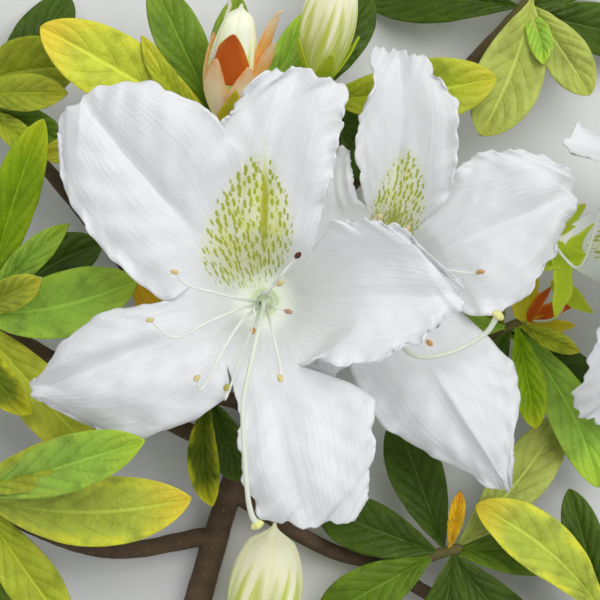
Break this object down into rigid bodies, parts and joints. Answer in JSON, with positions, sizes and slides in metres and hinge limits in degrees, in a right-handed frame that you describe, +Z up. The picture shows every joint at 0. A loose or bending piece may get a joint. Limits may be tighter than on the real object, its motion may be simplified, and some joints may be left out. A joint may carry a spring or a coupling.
{
  "type": "cut flowering azalea branch",
  "caption": "Cut azalea branch lying on a surface: a woody stem with side boughs, whorls of oval leaves, buds and large white funnel-shaped blooms with long stamens.",
  "frame": {"origin": "on the floor, under the middle of the branch's bounding box", "axes": "+Z up out of the floor, +Y from the cut end of the main stem towards the tip of the branch, +X to the right seen from above"},
  "size_m": [0.1821, 0.1957, 0.0658],
  "materials": {
    "bark": "rough brown bark",
    "petal": "soft white petal with yellow-green speckles",
    "calyx": "soft bright green",
    "stamen": "cream filaments with tan anthers",
    "pistil": "pale yellow-green",
    "orange_bud": "cream bracts with orange edges",
    "white_bud": "creamy white with green streaks",
    "leaf": "satin green leaf, some with yellow edges"
  },
  "bodies": {
    "root": {"main_stem": "bark", "upper_bough": "bark", "upper_left_bough": "bark", "upper_right_bough": "bark", "right_bough": "bark", "lower_right_bough": "bark", "far_right_bough": "bark", "lower_bough": "bark", "middle_bough": "bark", "lower_left_bough": "bark", "left_bough": "bark", "far_left_bough": "bark", "front_corolla": "petal", "front_calyx": "calyx", "front_stamens": "stamen", "front_pistil": "pistil", "rear_corolla": "petal", "rear_calyx": "calyx", "rear_stamens": "stamen", "rear_pistil": "pistil", "side_corolla": "petal", "side_calyx": "calyx", "side_stamens": "stamen", "side_pistil": "pistil", "orange_bud": "orange_bud", "white_bud": "white_bud", "lower_bud": "white_bud", "upper_left_leaves": "leaf", "upper_leaves": "leaf", "upper_right_leaves": "leaf", "right_leaves": "leaf", "lower_right_leaves": "leaf", "far_right_leaves": "leaf", "lower_leaves": "leaf", "middle_leaves": "leaf", "lower_left_leaves": "leaf", "left_leaves": "leaf", "far_left_leaves": "leaf"}
  },
  "joints": []
}
